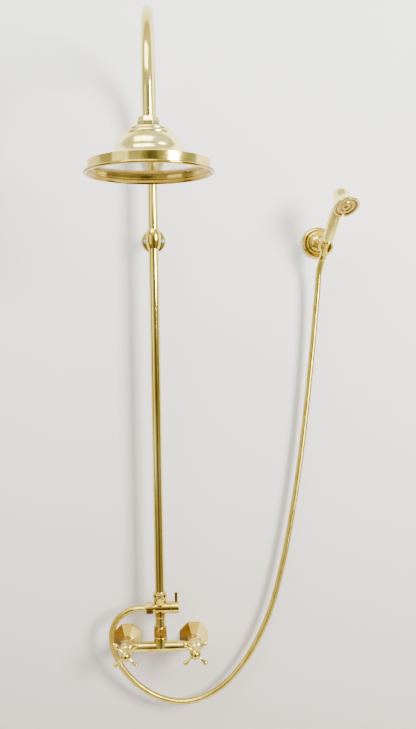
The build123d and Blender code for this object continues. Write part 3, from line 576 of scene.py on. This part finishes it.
def wall_material():
    """Painted plaster with painted shade, darker towards the floor, seen from the room; from behind it lets
    the camera through.
    """
    material, tree, shader = new_material("wall_paint")
    # painted shade: the wall's colour darkens towards the floor
    colour = ramp(tree, map_range(tree, object_height(tree), -0.3, 1.5), [
        (0.0, (0.50, 0.45, 0.405)), (0.35, (0.71, 0.675, 0.64)),
        (0.7, (0.81, 0.80, 0.775)), (1.0, (0.84, 0.85, 0.84)),
    ])
    tree.links.new(colour, shader.inputs["Base Color"])
    shader.inputs["Roughness"].default_value = 0.75
    tree.links.new(bump(tree, noise(tree, 14, 5), 0.05, 0.004), shader.inputs["Normal"])
    geometry = tree.nodes.new("ShaderNodeNewGeometry")
    clear = tree.nodes.new("ShaderNodeBsdfTransparent")
    mix = tree.nodes.new("ShaderNodeMixShader")
    tree.links.new(geometry.outputs["Backfacing"], mix.inputs["Fac"])
    tree.links.new(shader.outputs["BSDF"], mix.inputs[1])
    tree.links.new(clear.outputs["BSDF"], mix.inputs[2])
    tree.links.new(mix.outputs["Shader"], tree.nodes["Material Output"].inputs["Surface"])
    return material


def wall_hole(name):
    """Round hole that the hollow escutcheon covers, so light from behind reaches its inside."""
    corners = [Vector(corner) for corner in nodes[name].bound_box]
    low = Vector([min(c[i] for c in corners) for i in range(3)])
    high = Vector([max(c[i] for c in corners) for i in range(3)])
    radius = 0.42 * (high.x - low.x)
    middle = (low + high) / 2
    return [Vector((middle.x + radius * math.cos(a), WALL_FRONT, middle.z + radius * math.sin(a)))
            for a in circle_angles(32)]


def make_wall():
    """Wall in one sheet with two holes, every face turned to the room."""
    edge = [Vector((x * WALL_HALF_WIDTH, WALL_FRONT, z))
            for x, z in ((-1, FLOOR_AT), (1, FLOOR_AT), (1, WALL_TOP), (-1, WALL_TOP))]
    loops = [edge, wall_hole("hot_escutcheon"), wall_hole("cold_escutcheon")]
    points = [point for loop in loops for point in loop]
    faces = []
    for a, b, c in tessellate_polygon(loops):
        towards_room = (points[b] - points[a]).cross(points[c] - points[a]).y < 0
        faces.append((a, b, c) if towards_room else (a, c, b))
    flat_mesh("stage_wall", points, faces, wall_material())


def make_floor():
    paint = plain("floor_paint", (0.66, 0.64, 0.61), (0.70, 0.68, 0.65), (0.5, 0.6))
    corners = [(x * FLOOR_HALF_WIDTH, y * FLOOR_HALF_DEPTH, FLOOR_AT)
               for x, y in ((-1, -1), (1, -1), (1, 1), (-1, 1))]
    flat_mesh("stage_floor", corners, [(0, 1, 2, 3)], paint)


make_wall()
make_floor()


# ------------------------------------------------------------------ light
def area(name, place, target, size, power, colour=(1, 1, 1)):
    data = bpy.data.lights.new(name, "AREA")
    data.shape = "RECTANGLE"
    data.size, data.size_y = size
    data.energy = power
    data.color = colour
    light = bpy.data.objects.new(name, data)
    aim = (Vector(target) - Vector(place)).to_track_quat("-Z", "Y").to_matrix().to_4x4()
    light.matrix_world = Matrix.Translation(place) @ aim
    bpy.context.scene.collection.objects.link(light)


def azimuth(tree, x, y):
    """Direction round the room as a share of a turn; 0.5 is straight out from the wall."""
    minus = tree.nodes.new("ShaderNodeMath")
    minus.operation = "MULTIPLY"
    minus.inputs[1].default_value = -1
    tree.links.new(y, minus.inputs[0])
    angle = tree.nodes.new("ShaderNodeMath")
    angle.operation = "ARCTAN2"
    tree.links.new(x, angle.inputs[0])
    tree.links.new(minus.outputs[0], angle.inputs[1])
    return map_range(tree, angle.outputs[0], -math.pi, math.pi)


def make_world():
    """Bright plain room with darker stretches, a dark figure and a darker line at furniture height."""
    world = bpy.data.worlds.new("room")
    bpy.context.scene.world = world
    world.use_nodes = True
    tree = world.node_tree
    back = tree.nodes["Background"]
    place = tree.nodes.new("ShaderNodeTexCoord")
    split = tree.nodes.new("ShaderNodeSeparateXYZ")
    tree.links.new(place.outputs["Generated"], split.inputs["Vector"])
    height = map_range(tree, split.outputs["Z"], -1, 1)
    upward = ramp(tree, height, [
        (0.0, (0.45, 0.36, 0.25)), (0.30, (0.62, 0.52, 0.39)), (0.44, (0.74, 0.67, 0.58)),
        (0.47, (0.50, 0.42, 0.33)), (0.50, (0.80, 0.78, 0.74)), (0.60, (1.1, 1.09, 1.03)),
        (0.80, (1.45, 1.43, 1.36)), (1.0, (1.55, 1.53, 1.47)),
    ])
    around = ramp(tree, azimuth(tree, split.outputs["X"], split.outputs["Y"]), [
        (0.0, 1.0), (0.28, 0.85), (0.33, 0.45), (0.37, 0.45), (0.40, 0.9), (0.46, 1.0), (0.475, 0.55),
        (0.492, 0.5), (0.497, 0.16), (0.545, 0.16), (0.552, 0.5), (0.60, 0.6), (0.615, 0.85), (0.65, 0.85),
        (0.68, 0.55), (0.76, 0.8),
    ])
    only_low = tree.nodes.new("ShaderNodeMix")
    only_low.data_type = "RGBA"
    tree.links.new(ramp(tree, height, [(0.61, 0.0), (0.68, 1.0)]), only_low.inputs["Factor"])
    tree.links.new(around, only_low.inputs["A"])
    only_low.inputs["B"].default_value = (1, 1, 1, 1)
    tree.links.new(multiplied(tree, upward, only_low.outputs["Result"]), back.inputs["Color"])
    back.inputs["Strength"].default_value = 0.85


make_world()
area("key", (2.3, -2.6, 1.5), (0.1, 0, 0.6), (0.9, 1.3), 340, (1.0, 0.99, 0.97))
area("top", (-0.6, -1.9, 3.0), (0, 0, 0.6), (2.4, 1.4), 100)
area("fill", (-2.6, -2.4, 0.9), (0, 0, 0.5), (1.8, 2.4), 28, (1.0, 0.97, 0.93))
area("behind", (0.6, 2.6, 1.6), (0, 0, 0.6), (2.6, 2.0), 60)
